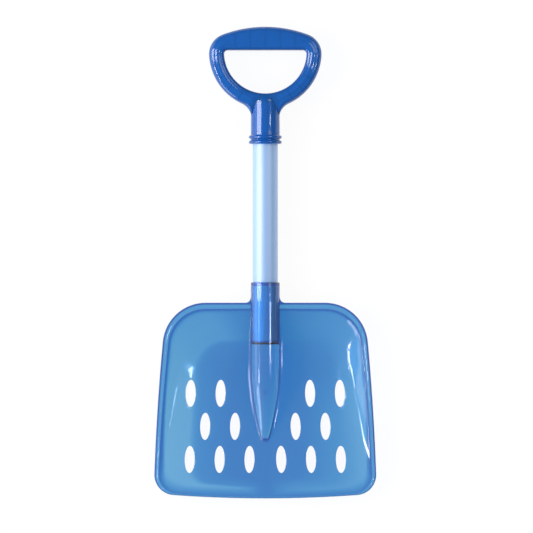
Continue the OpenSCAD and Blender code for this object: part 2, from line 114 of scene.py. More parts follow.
# %% Lofts
def loft(name, rings, caps=True):
    """Extrudes a circle of points ring by ring. The ends are capped, or else the points there meet."""
    deselect()
    count = len(rings[0])
    bpy.ops.mesh.primitive_circle_add(vertices=count, radius=1)
    piece = bpy.context.object
    piece.name = name
    piece.data.name = name
    for k, ring in enumerate(rings):
        if k:
            bpy.ops.object.mode_set(mode="EDIT")
            if k == 1:
                bpy.ops.mesh.select_all(action="SELECT")
            bpy.ops.mesh.extrude_region()
            bpy.ops.object.mode_set(mode="OBJECT")
        places = np.empty(len(piece.data.vertices) * 3)
        piece.data.vertices.foreach_get("co", places)
        places[-3 * count:] = np.asarray(ring, float).ravel() * MM
        piece.data.vertices.foreach_set("co", places)
    if caps:
        bpy.ops.object.mode_set(mode="EDIT")
        bpy.ops.mesh.edge_face_add()
        bpy.ops.object.mode_set(mode="OBJECT")
        for v in piece.data.vertices:
            v.select = v.index < count
        for e in piece.data.edges:
            e.select = max(e.vertices) < count
        for f in piece.data.polygons:
            f.select = False
        bpy.ops.object.mode_set(mode="EDIT")
        bpy.ops.mesh.edge_face_add()
    bpy.ops.object.mode_set(mode="EDIT")
    bpy.ops.mesh.select_all(action="SELECT")
    bpy.ops.mesh.remove_doubles(threshold=0.002 * MM)
    bpy.ops.mesh.normals_make_consistent(inside=False)
    bpy.ops.object.mode_set(mode="OBJECT")
    return piece


def turned(name, profile):
    """A round piece along the shaft. The profile is a list of (y, radius)."""
    turn = np.radians(np.linspace(0, 360, 128, endpoint=False))
    return loft(name, [np.stack([r * np.cos(turn), np.full(len(turn), y), axis_z + r * np.sin(turn)], 1)
                       for y, r in profile])


def upright(name, y, level, profile):
    """A round piece that stands across the shovel's middle. The profile is a list of (height, radius)."""
    turn = np.radians(np.linspace(0, 360, 48, endpoint=False))
    return loft(name, [[(r * math.cos(t), y + r * math.sin(t), level + z) for t in turn] for z, r in profile])


# %% [markdown]
# ## Joining, cutting and finishing
# A moulding is built up from simple solids and cut by others. A Boolean modifier does both, and
# it is applied at once. The finished piece takes its CAD node's place and rides on its body.


# %% Joining, cutting and finishing
def combine(piece, other, how="UNION"):
    """Joins another solid to a piece, or cuts it away, and removes the other."""
    deselect()
    bpy.context.view_layer.objects.active = piece
    piece.select_set(True)
    step = piece.modifiers.new(how.lower(), "BOOLEAN")
    step.operation = how
    step.object = other
    step.solver = "EXACT"
    bpy.ops.object.modifier_apply(modifier=step.name)
    bpy.data.objects.remove(other)


def joined(name, pieces):
    """Several pieces as one object."""
    deselect()
    for piece in pieces:
        piece.select_set(True)
    bpy.context.view_layer.objects.active = pieces[0]
    bpy.ops.object.join()
    bpy.context.object.name = name
    return bpy.context.object


def finished(piece, node):
    """Cleans a finished piece, smooths its shading up to 32 degrees, and puts it in its CAD node's place."""
    deselect()
    bpy.context.view_layer.objects.active = piece
    piece.select_set(True)
    bpy.ops.object.mode_set(mode="EDIT")
    bpy.ops.mesh.select_all(action="SELECT")
    bpy.ops.mesh.remove_doubles(threshold=0.004 * MM)
    bpy.ops.object.mode_set(mode="OBJECT")
    bpy.ops.object.shade_smooth_by_angle(angle=math.radians(32))
    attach(piece, "root")
    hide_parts(node)
    print(piece.name, len(piece.data.vertices), "points,", len(piece.data.polygons), "faces")
    return piece


# %% [markdown]
# ## Drawing outlines
# Outlines are drawn as a draughtsman would, from straight lines and arcs. One half is enough,
# because the shovel's left and right halves are alike.


# %% Drawing outlines
def mix(a, b, t):
    return a + (b - a) * t


def arc(centre, r, a0, a1, count):
    """Points on an arc, in degrees, without the last one."""
    angles = np.radians(np.linspace(a0, a1, count, endpoint=False))
    return [(centre[0] + r * math.cos(a), centre[1] + r * math.sin(a)) for a in angles]


def mirrored(half):
    """A right half, from the middle round to the middle, and its mirror image."""
    return np.array(half + [(-x, y) for x, y in half[-2:0:-1]])


# %% [markdown]
# ## The scoop's three outlines
# The scoop is one moulding with an even wall. Three lines round it give its shape: its outline,
# the inner line of its flat flange, and the edge of its floor. Each has a straight back, round back
# corners, sides that spread towards the lip, small lip corners and a slightly bowed lip.

# %% The scoop's outlines
blade_w, blade_back_w = 222, 205.4
back_corner_r, lip_corner_r, lip_bow = 43, 20.4, 3.3
flange_back_w, flange_side_w, flange_front_w, lip_land = 7.4, 6.5, 5.2, 2.1
back_wall_run, side_wall_run, front_wall_run, floor_land = 31, 27, 32, 11
side_angle, lip_angle, side_bow = math.radians(5.2), math.radians(4.2), 0.46
back_steps, corner_steps, side_steps, lip_corner_steps, lip_steps = 12, 22, 30, 16, 16


def scoop_line(back_y, back_r, back_x, front_x, front_y, front_r, end_y):
    """One closed line round the scoop."""
    back = (back_x - back_r, back_y - back_r)
    front = (front_x - front_r, front_y)
    start = (back[0] + back_r * math.cos(side_angle), back[1] + back_r * math.sin(side_angle))
    lip = (front[0] + front_r * math.sin(lip_angle), front[1] - front_r * math.cos(lip_angle))
    half = [(back[0] * i / back_steps, back_y) for i in range(back_steps)]
    half += arc(back, back_r, 90, math.degrees(side_angle), corner_steps)
    for i in range(side_steps):
        u = i / side_steps
        half.append((mix(start[0], front_x, u + side_bow * u * (1 - u)), mix(start[1], front_y, u)))
    half += arc(front, front_r, 0, math.degrees(lip_angle) - 90, lip_corner_steps)
    for i in range(lip_steps + 1):
        u = 1 - i / lip_steps
        half.append((lip[0] * u, mix(end_y, lip[1], u * u)))
    return mirrored(half)


lip_corner_y = lip_y + lip_bow + lip_corner_r
outline = scoop_line(rim_y, back_corner_r, blade_back_w / 2, blade_w / 2, lip_corner_y, lip_corner_r, lip_y)
flange_line = scoop_line(rim_y - flange_back_w, back_corner_r - flange_side_w,
                         blade_back_w / 2 - flange_side_w, blade_w / 2 - flange_front_w, lip_corner_y,
                         lip_corner_r - lip_land, lip_y + lip_land)
floor_front_r = lip_corner_r * 0.8
floor_line = scoop_line(rim_y - flange_back_w - back_wall_run, (back_corner_r - flange_side_w) * 0.85,
                        blade_back_w / 2 - flange_side_w - side_wall_run,
                        blade_w / 2 - flange_front_w - front_wall_run,
                        lip_y + lip_bow + floor_land + floor_front_r, floor_front_r, lip_y + floor_land)
print("points round the scoop:", len(outline))

# %% [markdown]
# ## The scoop's heights
# The floor is flat over the heel, so the shovel can stand on it, and then it bends up to the lip.
# The rim runs straight from the back to the lip, and its turned-down edge dies out there.

# %% The scoop's heights
blade_wall, rim_z, lip_z = 2.4, 19, 16.5
rim_edge_h, ledge_h, lip_edge = 3.8, 3.3, 0.4
heel_len, heel_bend = 16, 30
heel_y = rim_y - flange_back_w - back_wall_run - heel_len


def ramp(q, bend):
    """A line that is flat before 0, bends over a short way and then rises evenly."""
    return 0 if q < 0 else q * q / (2 * bend) if q < bend else q - bend / 2


floor_slope = (lip_z - blade_wall) / ramp(heel_y - lip_y, heel_bend)


def floor_at(y):
    return blade_wall + floor_slope * ramp(heel_y - y, heel_bend)


def rim_at(y):
    return mix(rim_z, lip_z, (rim_y - y) / blade_len)


def towards_lip(y):
    """0 behind the lip corners and 1 at the lip, with a soft change between them."""
    q = min(1, max(0, (lip_corner_y + lip_corner_r - y) / (2 * lip_corner_r)))
    return q * q * (3 - 2 * q)


def edge_at(y):
    """Depth of the turned-down edge, which almost dies out along the lip."""
    return mix(rim_edge_h, blade_wall + lip_edge, towards_lip(y))


def ledge_at(y):
    """Depth of the small ledge under the inner line of the flange."""
    return mix(ledge_h, blade_wall, towards_lip(y))


print("floor at the lip:", round(floor_at(lip_y + floor_land), 1), "mm")

# %% [markdown]
# ## The slope of the walls
# The side walls fall steeply to a crease and then slant in, and the back wall is an even slope.
# Each is given by its steepness at a few places on the way down, added up to a height, so a
# crease is as sharp as it should be. The crease comes nearer to the rim towards the lip.

# %% The slope of the walls
wall_v = np.array([0, 0.01, 0.03, 0.06, 0.1, 0.15, 0.2, 0.26, 0.31, 0.34, 0.355, 0.365, 0.375, 0.385, 0.395,
                   0.41, 0.44, 0.5, 0.58, 0.66, 0.74, 0.82, 0.88, 0.94, 1])
wall_steps = len(wall_v) - 1
crease_v = 0.38


def wall_profile(places, slopes):
    """Height left at each step down a wall, and its slope there, from a few slopes along it."""
    fine = np.linspace(0, 1, 401)
    steep = np.interp(fine, places, slopes)
    fallen = np.concatenate([[0], np.cumsum((steep[1:] + steep[:-1]) / 2)]) / 400
    left = 1 - np.interp(wall_v, fine, fallen) / fallen[-1]
    return np.array([left, np.interp(wall_v, fine, steep) / fallen[-1]])


steep_part = wall_profile((0, 0.1, 0.29, 0.34, 0.43, 1), (2.4, 2.1, 1.8, 1.6, 0, 0))
slant_part = wall_profile((0, 0.34, 0.43, 0.85, 1), (0, 0, 1, 0.95, 0.2))
back_part = wall_profile((0, 0.06, 0.15, 0.82, 0.95, 1), (3, 0.95, 0.8, 0.78, 0.3, 0.05))


def crease_at(y):
    """Where a side wall's crease lies, as a share of its run: nearer to the rim towards the lip."""
    return np.interp((rim_y - y) / blade_len, (0.276, 0.327, 0.398, 0.664, 0.889, 0.955),
                     (0.54, 0.44, 0.37, 0.23, 0.17, 0.13))


def slant_at(y):
    """Which share of a side wall's height its slanting part takes."""
    return np.interp((rim_y - y) / blade_len, (0.398, 0.664), (0.24, 0.45))


print("steps down a wall:", wall_steps)

# %% [markdown]
# ## The thickness of the walls
# Clear plastic shows how thick it is, because a thin wall is paler. The real scoop is palest along
# its side walls, so the wall thins out there. Only the underside moves for that: the inside of the
# scoop keeps the CAD part's shape.

# %% The thickness of the walls
left_wall = (0, 0.12, 0.93, 1.07, 1.5, 2), (0.7, 0.38, 0.42, 0.75, 0.93, 0.94)
right_wall = (0, 0.1, 0.37, 0.46, 1.1, 1.5, 2), (0.7, 0.42, 0.46, 0.46, 0.7, 0.9, 0.94)


def thickness(i, v):
    """Wall thickness under a point: v runs from 0 at the flange to 1 at the floor's edge, and 2 is its
    middle. The plastic thins out on its way from the gate to the side walls, most of all on the left."""
    p, q = flange_line[i], floor_line[i]
    on_left, behind = p[0] < 0, q[1] < p[1]
    sideways = 1 - (abs(q[1] - p[1]) / math.dist(p, q)) ** (5 if on_left and behind else 3)
    side = np.interp(v, *(left_wall if on_left else right_wall))
    back = np.interp(v, (0, 0.1, 0.93, 1.07, 1.3, 2), (0.78, 0.87, 0.87, 1, 1, 0.94))
    front = np.interp(v, (0, 0.1, 2), (0.85, 0.93, 0.94))
    return blade_wall * mix(back if behind else front, side, sideways)


print("thinnest wall:", round(blade_wall * min(left_wall[1] + right_wall[1]), 2), "mm")

# %% [markdown]
# ## Points of the shell
# Each point of the shell belongs to one place on the way round the scoop and one step on the way
# in. Three helpers find it on the flange, on the wall and on the floor. The floor's points run to a
# line down its middle, where both halves meet.


# %% Points of the shell
def wall_point(i, k, under=False):
    """A point of the wall's top side, or of its underside one wall thickness away."""
    p, q = flange_line[i], floor_line[i]
    run = math.dist(p, q)
    along = (q - p) / run
    rise = max(0, rim_at(p[1]) - floor_at(p[1]))
    backness = max(0, -along[1]) ** 2.4
    crease, slant = mix(crease_at(p[1]), crease_v, backness), slant_at(p[1])
    v = wall_v[k]
    before = v < crease_v
    stretch = crease / crease_v if before else (1 - crease) / (1 - crease_v)
    u = v * stretch if before else crease + (v - crease_v) * stretch
    left, slope = mix(mix(steep_part[:, k], slant_part[:, k], slant), back_part[:, k], backness)
    slope = rise * slope / (run * stretch)
    at = p + along * run * u
    z = floor_at(at[1]) + rise * left
    if not under:
        return [at[0], at[1], z]
    size = math.hypot(1, slope)
    thick = thickness(i, v)
    back = at - along * thick * slope / size
    return [back[0], back[1], min(z - thick / size, rim_at(p[1]) - ledge_at(p[1]))]


def flange_point(i, share, depth):
    """A share of the way from the outline to the flange's inner line, and so deep under the rim."""
    p = mix(outline[i], flange_line[i], share)
    return [p[0], p[1], rim_at(p[1]) - depth]


def floor_point(i, share, depth):
    """A share of the way from the floor's edge to the line down its middle, and so deep under it."""
    turn = math.pi * (0.5 - i / (len(outline) / 2))
    spine_y = (heel_y + lip_y + floor_land) / 2 + (heel_y - lip_y - floor_land) * 0.4 * math.sin(turn)
    p = mix(floor_line[i], np.array([0, spine_y]), share)
    return [p[0], p[1], floor_at(p[1]) - depth]


print("a point in the back wall:", [round(c, 1) for c in wall_point(0, wall_steps // 2)])

# %% [markdown]
# ## The scoop's shell
# The loft starts in the middle of the floor, runs out and up the wall, over the flange, round its
# turned-down edge, and back underneath. The flange has a fine bead along its middle, and the
# corner between flange and wall is rounded, because a mould is never quite sharp.

# %% The scoop's shell
every = range(len(outline))
floor_steps = 14


def corner_point(i, t):
    """The rounded corner between the flange and the wall."""
    a = np.array(flange_point(i, 0.84, 0))
    b = np.array(flange_point(i, 1, 0))
    c = np.array(wall_point(i, 3))
    return a * (1 - t) ** 2 + b * 2 * t * (1 - t) + c * t * t


flange_profile = [(0, 1.5), (0, 0.8), (0.018, 0.38), (0.055, 0.1), (0.11, 0), (0.4, 0), (0.45, 0.15),
                  (0.5, 0.25), (0.55, 0.15), (0.6, 0)]
flange_thick = blade_wall * 0.64
under_profile = [(0.22, flange_thick + 0.25), (0.24, flange_thick), (0.84, flange_thick)]


def pan_shell():
    rings = [[floor_point(i, k / floor_steps, 0) for i in every] for k in range(floor_steps, 0, -1)]
    rings += [[wall_point(i, k) for i in every] for k in range(wall_steps, 2, -1)]
    rings += [[corner_point(i, t) for i in every] for t in (0.75, 0.5, 0.25, 0)]
    rings += [[flange_point(i, *step) for i in every] for step in flange_profile[::-1]]
    rings += [[flange_point(i, s, edge_at(outline[i][1]) - d) for i in every]
              for s, d in ((0, 0.35), (0.05, 0), (0.17, 0), (0.22, 0.3))]
    rings += [[flange_point(i, *step) for i in every] for step in under_profile]
    rings += [[flange_point(i, 0.86, ledge_at(outline[i][1])) for i in every]]
    rings += [[wall_point(i, k, True) for i in every] for k in range(0, wall_steps + 1)]
    rings += [[floor_point(i, k / floor_steps, thickness(i, 1 + k / floor_steps)) for i in every]
              for k in range(1, floor_steps + 1)]
    return loft("scoop_blade", rings, caps=False)


scoop = pan_shell()
print("shell of the scoop:", len(scoop.data.polygons), "faces")

# %% [markdown]
# ## The ridge that carries the socket
# The socket runs on over the floor as a round ridge, which narrows and falls to a point. Its crown
# is level with the socket, its flanks stand upright so that the mould can open, and its foot is
# rounded into the floor. It is lofted from cross sections, like the ribs of a boat.

# %% The ridge
ridge_r, ridge_len, taper_power = socket_r - 0.02, 139.6, 1.95
ridge_end_y = rim_y - ridge_len
ridge_start_y = rim_y - flange_back_w - 0.08 * back_wall_run
ridge_taper_len, crown_fall_len, crown_bend, ridge_foot = 74.6, 66, 0.2, 3.6
point_share, crown_end_share = 0.2, 0.05
foot_turns = np.radians([14, 30, 46, 62, 78])
crown_turns = np.radians(np.linspace(0, 180, 41))


def ridge_half(y):
    """Half the width of the ridge, which tapers along its last part."""
    q = max(0, (ridge_end_y + ridge_taper_len - y) / ridge_taper_len)
    return ridge_r * (1 - (1 - point_share) * q ** taper_power)


def crown_at(y):
    """Height of the ridge's crown: level with the socket, and then it falls to the ridge's point."""
    q = max(0, (ridge_end_y + crown_fall_len - y) / crown_fall_len)
    return mix(axis_z + ridge_r, floor_at(ridge_end_y) + ridge_r * crown_end_share,
               ramp(q, crown_bend) / ramp(1, crown_bend))


def middle_at(y):
    """Height of the scoop's top side along its middle: the floor, and the back wall up to its flange."""
    q = min(1, max(0, (rim_y - flange_back_w - y) / back_wall_run))
    left = np.interp(q, wall_v, back_part[0])
    return floor_at(y) + (rim_at(rim_y - flange_back_w) - floor_at(y)) * left


def ridge_section(y, wall=0):
    """A section across the ridge. With a wall it is the hollow inside, which runs out through the floor.
    Towards its point the foot takes more of the width, and the wall is thinner."""
    low = np.interp(y, (ridge_end_y, ridge_end_y + crown_fall_len), (1, 0))
    f, w = middle_at(y), ridge_half(y) * (1 - 0.1 * low)
    h = crown_at(y) - f
    away = min(1, max(0.15, (ridge_start_y - y) / back_wall_run))
    foot = ridge_foot * min(1, h / ridge_foot / 2) * away + ridge_half(y) * 0.1 * low
    foot_h = min(ridge_foot * 0.7, h * mix(0.35, 0.6, low)) * away
    base = max(h - w, h * mix(0.45, 0.2, low) * away, foot_h)
    side, top = wall * mix(0.5, 0.3, low), wall * mix(1, 0.75, low)
    right = [(w + foot, -f - 1 if wall else -blade_wall / 2)]
    right += [(w + foot * (1 - math.sin(t)), foot_h * (1 - math.cos(t)) - wall) for t in foot_turns]
    crown = [(w * math.cos(t), base + (h - base) * math.sin(t)) for t in crown_turns]
    crown = [(x * (1 - side / w), z - top * math.sin(t)) for (x, z), t in zip(crown, crown_turns)]
    right = [(x - side, z) for x, z in right]
    loop = right + crown + [(-x, z) for x, z in right[::-1]]
    return [[x, y, f + z] for x, z in loop]


def ridge(y0, y1, wall=0, steps=64):
    """The ridge between two places along the shovel, or the hollow inside it."""
    stations = [mix(y0, y1, (k / steps) ** 1.15) for k in range(steps + 1)]
    return loft("ridge", [ridge_section(y, wall) for y in stations])


combine(scoop, ridge(ridge_end_y, ridge_start_y))
print("scoop with its ridge:", len(scoop.data.polygons), "faces")

# %% [markdown]
# ## The scoop's socket
# A round sleeve takes the tube. It is turned like a cup: closed at its inner end, with a rounded
# mouth. Two small webs round the corner between the sleeve and the rim.

# %% The scoop's socket
sleeve = turned("sleeve", [(tube_y - 2, socket_r), (tube_y, socket_r), (tube_y + 20, socket_r),
                           (rim_y, socket_r), (mouth_y - 0.7, socket_r), (mouth_y - 0.35, socket_r - 0.1),
                           (mouth_y - 0.1, socket_r - 0.35), (mouth_y, socket_r - 0.7)])
combine(scoop, sleeve)
web_r, web_low, web_high = 5, 15.4, 18.2
for side in (-1, 1):
    corner = [(socket_r - 0.8, rim_y - 1.2), (socket_r - 0.8, rim_y + web_r)]
    corner += arc((socket_r + web_r, rim_y + web_r), web_r * 0.97, 178, 268, 10)
    corner += [(socket_r + web_r, rim_y - 1.2)]
    combine(scoop, loft("web", [[(side * x, y, z) for x, y in corner] for z in (web_low, web_high)]))
print("scoop with its socket:", len(scoop.data.polygons), "faces")

# %% [markdown]
# ## Hollows
# The ridge is hollow from below, so its wall is as thin as the rest: a thick lump would sink in
# the mould. The bore for the tube has a rounded mouth, and it grips the tube on a land at each end.

# %% Hollows
combine(scoop, ridge(ridge_end_y + 4, tube_y - 2, blade_wall, 40), "DIFFERENCE")
relief_r, bore_end_y = bore_r + 0.75, tube_y - 0.15
bore = [(bore_end_y, bore_r), (bore_end_y + 1.2, bore_r), (bore_end_y + 1.6, relief_r),
        (mouth_y - 3.4, relief_r), (mouth_y - 2.6, bore_r), (mouth_y - 0.6, bore_r),
        (mouth_y - 0.3, bore_r + 0.1), (mouth_y - 0.1, bore_r + 0.3), (mouth_y + 0.4, bore_r + 1.1)]
combine(scoop, turned("bore", bore), "DIFFERENCE")
print("scoop with its hollows:", len(scoop.data.polygons), "faces")

# %% [markdown]
# ## Drain holes
# Sand and water run out through fourteen holes. Each is cut by a long oval whose ends flare, which
# rounds both edges of the hole. The cutter follows the slope of the floor.

# %% Drain holes
hole_len, hole_w, hole_edge, cutter_flare, cutter_past = 27, 9.9, 0.55, 1.25, 3
hole_pitch, row_pitch, row_inset, hole_lean = 29.9, 33, 38.9, math.radians(1.1)
hole_rows = [([0.5, 1.5, 2.5], 0.03), ([1, 2], 0.015), ([1.5, 2.5], 0)]
edge_turns = np.radians([70, 50, 25, 0])
hole_profile = [(cutter_flare, -cutter_past), (cutter_flare, -0.35)]
hole_profile += [(hole_edge * (1 - math.cos(t)), hole_edge * (1 - math.sin(t))) for t in edge_turns]
hole_profile += [(e, blade_wall - d) for e, d in hole_profile[::-1]]


def top_at(x, y):
    """Height of the scoop's top side, felt from above."""
    return scoop.ray_cast((x * MM, y * MM, 0.1), (0, 0, -1))[1].z / MM


def drain_hole(x, y):
    """One oval cutter, fanned a little towards the lip. It follows the floor and the foot of the wall."""
    turn = np.radians(np.linspace(0, 360, 56, endpoint=False))
    lean = math.copysign(hole_lean, x)
    rings = []
    for grow, depth in hole_profile:
        u, v = (hole_w / 2 + grow) * np.cos(turn), (hole_len / 2 + grow) * np.sin(turn)
        px, py = x + u * math.cos(lean) - v * math.sin(lean), y + u * math.sin(lean) + v * math.cos(lean)
        rings.append([(a, b, top_at(a, b) - depth) for a, b in zip(px, py)])
    return loft("drain_hole", rings)


holes = [drain_hole(side * hole_pitch * (share + spread), lip_y + row_inset + row_pitch * row)
         for row, (shares, spread) in enumerate(hole_rows) for share in shares for side in (-1, 1)]
combine(scoop, joined("drain_holes", holes), "DIFFERENCE")
print("drain holes:", 2 * sum(len(shares) for shares, _ in hole_rows))

# %% [markdown]
# ## Screw holes and the gate mark
# A screw goes in from behind, through a shallow round seat. On the ridge a small disc shows where
# the plastic came into the mould.

# %% Screw holes and gate mark
screw_inset, seat_depth, shank_hole_r = 10.5, 0.55, 1.55
blade_screw_y = mouth_y - screw_inset
grip_screw_y = grip_mouth_y + ring_pitch + 2 * ring_r + screw_inset
seat_z = axis_z - socket_r + seat_depth


def screw_cut(y):
    """The seat for a screw's head, and the hole for its shank."""
    return upright("screw_cut", y, 0, [(-1, 3.4), (seat_z - 0.5, 3.1), (seat_z, 3.05),
                                       (seat_z, shank_hole_r), (axis_z, shank_hole_r)])


combine(scoop, screw_cut(blade_screw_y), "DIFFERENCE")
gate_inset = 88.7
gate_y = rim_y - gate_inset
gate_profile = [(-2, 3), (0.1, 3), (0.28, 2.8), (0.3, 2.5), (0.3, 1.9), (0.12, 1.6), (0.1, 1.2), (0.22, 0.8),
                (0.25, 0.4)]
combine(scoop, upright("gate", gate_y, crown_at(gate_y), gate_profile))
finished(scoop, "blade")

# %% [markdown]
# ## The tube
# The shaft is a plain drawn tube. A cylinder is added, its two ends are inset by the wall, and
# the inner faces are bridged, which opens the bore. A small bevel breaks the sharp ends.

# %% The tube
deselect()
tube_len = tube_end_y - tube_y
bpy.ops.mesh.primitive_cylinder_add(vertices=160, radius=tube_r * MM, depth=tube_len * MM,
                                    location=(0, (tube_y + tube_len / 2) * MM, axis_z * MM),
                                    rotation=(math.pi / 2, 0, 0))
tube = bpy.context.object
tube.name = "coated_tube"
bpy.ops.object.transform_apply(location=True, rotation=True, scale=True)
pick(tube, lambda middle, normal: abs(normal.y) > 0.9)
bpy.ops.mesh.inset(thickness=tube_wall * MM, use_boundary=True)
bpy.ops.mesh.bridge_edge_loops()
pick(tube, lambda middle, way: abs(way.y) < 0.1
     and min(abs(middle.y - tube_y), abs(middle.y - tube_end_y)) < 0.01, "EDGE")
bpy.ops.mesh.bevel(offset=0.3 * MM, segments=3, affect="EDGES")
bpy.ops.object.mode_set(mode="OBJECT")
for y in (blade_screw_y, grip_screw_y):
    deselect()
    bpy.ops.mesh.primitive_cylinder_add(vertices=32, radius=shank_hole_r * MM, depth=axis_z * MM,
                                        location=(0, y * MM, axis_z / 2 * MM))
    combine(tube, bpy.context.object, "DIFFERENCE")
finished(tube, "shaft_tube")

# %% [markdown]
# ## The grip's outlines
# The D-grip is a ring between two lines. The outer one has an arched top, round corners and a
# round bottom that flares into the socket. The hand opening has a straight top and a round bottom.

# %% The grip's outlines
grip_r, opening_r, grip_top_r, grip_corner_r = 56.4, 41.1, 122, 21
opening_corner_r, opening_rise, grip_rise, flare_r = 3.6, 1.9, 25.5, 17
bar_steps, turn_steps, arm_steps, flare_steps = 12, 14, 34, 16
top_c = grip_rise - grip_top_r
corner_low, corner_high = grip_r - grip_corner_r, grip_top_r - grip_corner_r
corner_y = (corner_low ** 2 - corner_high ** 2 + top_c ** 2) / (2 * top_c)
corner_x = math.sqrt(corner_low ** 2 - corner_y ** 2)
top_angle = math.degrees(math.atan2(corner_y - top_c, corner_x))
low_angle = math.degrees(math.atan2(corner_y, corner_x))
flare_x = socket_r - 0.8 + flare_r
flare_y = -math.sqrt((grip_r + flare_r) ** 2 - flare_x ** 2)
flare_angle = math.degrees(math.atan2(flare_y, flare_x))

half = [(grip_top_r * math.cos(a), top_c + grip_top_r * math.sin(a))
        for a in np.radians(np.linspace(90, top_angle, bar_steps, endpoint=False))]
half += arc((corner_x, corner_y), grip_corner_r, top_angle, low_angle, turn_steps)
half += arc((0, 0), grip_r, low_angle, flare_angle, arm_steps)
half += arc((flare_x, flare_y), flare_r, flare_angle + 180, 180, flare_steps)
grip_outline = mirrored(half + [(flare_x - flare_r, flare_y), (0, flare_y)])

open_x = math.sqrt((opening_r - opening_corner_r) ** 2 - (opening_rise - opening_corner_r) ** 2)
open_y = opening_rise - opening_corner_r
open_angle = math.degrees(math.atan2(open_y, open_x))
half = [(open_x * i / bar_steps, opening_rise) for i in range(bar_steps)]
half += arc((open_x, open_y), opening_corner_r, 90, open_angle, turn_steps)
half += arc((0, 0), opening_r, open_angle, flare_angle, arm_steps)
half += arc((0, 0), opening_r, flare_angle, -90, flare_steps + 1)
hand_outline = mirrored(half + [(0, -opening_r)])
print("points round the grip:", len(grip_outline), len(hand_outline))

# %% [markdown]
# ## The grip's ring
# In section the grip is a channel: a front face, two side walls, and an open back with ribs in it.
# That keeps a thick handle light and quick to mould. The section is swept round the ring, with
# generous rounds where the hand closes on it, and less depth where it flares into the socket.

# %% The grip's ring
grip_depth, grip_wall, grip_edge_r, opening_edge_r, grip_crown = 25, 2.3, 6.5, 4.5, 0.8
edge_turn = np.radians(np.linspace(0, 90, 10))


def side_profile(r, inset):
    """Half of the channel, from its open back up to the front face: how far in, and how high."""
    rows = [(inset, -grip_depth / 2), (inset, -grip_depth / 4), (inset, 0)]
    for a in edge_turn:
        rows.append((inset + (r - inset) * (1 - math.cos(a)),
                     grip_depth / 2 - inset - (r - inset) * (1 - math.sin(a))))
    return rows


def depth_share(p):
    """The outline is less deep where it flares into the socket."""
    top = grip_r * math.sin(math.radians(flare_angle))
    q = min(1, max(0, (top - p[1]) / (top - flare_y)))
    return 1 - 0.65 * q * q


def channel(inset):
    """Rings of one skin of the channel, from the outer wall's back edge over to the inner wall's."""
    outer, inner = side_profile(grip_edge_r, inset), side_profile(opening_edge_r, inset)
    span = np.linalg.norm(hand_outline - grip_outline, axis=1)
    along = (hand_outline - grip_outline) / span[:, None]
    share = np.array([depth_share(p) for p in grip_outline])
    rows = [(grip_outline + along * d, z * share) for d, z in outer]
    for t in (0.2, 0.4, 0.6, 0.8):
        (d0, z0), (d1, z1) = outer[-1], inner[-1]
        start, end = grip_outline + along * d0, hand_outline - along * d1
        rows.append((mix(start, end, t), mix(z0 * share, z1, t) + grip_crown * 4 * t * (1 - t)))
    rows += [(hand_outline - along * d, np.full(len(along), z)) for d, z in inner[::-1]]
    return [np.column_stack([p[:, 0], grip_centre_y + p[:, 1], axis_z + z]) for p, z in rows]


rings = channel(0) + channel(grip_wall)[::-1]
handle = loft("d_grip", rings + [rings[0]], caps=False)
print("ring of the grip:", len(handle.data.polygons), "faces")

# %% [markdown]
# ## Ribs in the grip
# Thin ribs cross the channel: upright ones behind the hand bar, and spokes in the arms. They show
# as faint lines through the plastic. One rib outline is made and repeated, and its ends stop in
# the middle of the walls.

# %% Ribs in the grip
rib_t, rib_pitch, rib_angle = 1.4, 14.9, 15
rib_low = 2.5 - grip_depth / 2


def rib(name, length, place):
    """A rib across the channel. place turns (across, along, height) into a place on the grip."""
    mid = grip_wall / 2
    inner = [(d, max(z, rib_low)) for d, z in side_profile(opening_edge_r, mid)[1:]]
    outer = [(length - d, max(z, rib_low)) for d, z in side_profile(grip_edge_r, mid)[1:]]
    inner[0], outer[0] = (mid, rib_low), (length - mid, rib_low)
    loop = inner + outer[::-1]
    return loft(name, [[place(x, y, z) for y, z in loop] for x in (-rib_t / 2, rib_t / 2)])


ribs = []
for k in range(-2, 3):
    x0 = k * rib_pitch
    reach = top_c + math.sqrt(grip_top_r ** 2 - x0 ** 2) - opening_rise
    ribs.append(rib("rib", reach, lambda x, y, z: (x0 + x, grip_centre_y + opening_rise + y, axis_z + z)))
for side in (-1, 1):
    for k in range(1, 5):
        c, s = math.cos(math.radians(k * rib_angle)), -math.sin(math.radians(k * rib_angle))
        ribs.append(rib("rib", grip_r - opening_r, lambda x, y, z: (
            side * ((opening_r + y) * c - x * s), grip_centre_y + (opening_r + y) * s + x * c, axis_z + z)))
combine(handle, joined("ribs", ribs))
print("ribs:", len(ribs))

# %% [markdown]
# ## The grip's socket
# The sleeve is turned too. Two rings stand out at its mouth, with a small hollow between them,
# and its closed end is a round dome below the hand opening. Inside, a step stops the tube.

# %% The grip's socket
dome_r = 7
dome_y = grip_centre_y - opening_r - dome_r / 6
bead_c = ring_out_r - ring_r


def bead(y, a0, a1):
    """The round back of one ring, from one angle to another."""
    return [(y - ring_r * math.cos(a), bead_c + ring_r * math.sin(a))
            for a in np.radians(np.linspace(a0, a1, 13))]


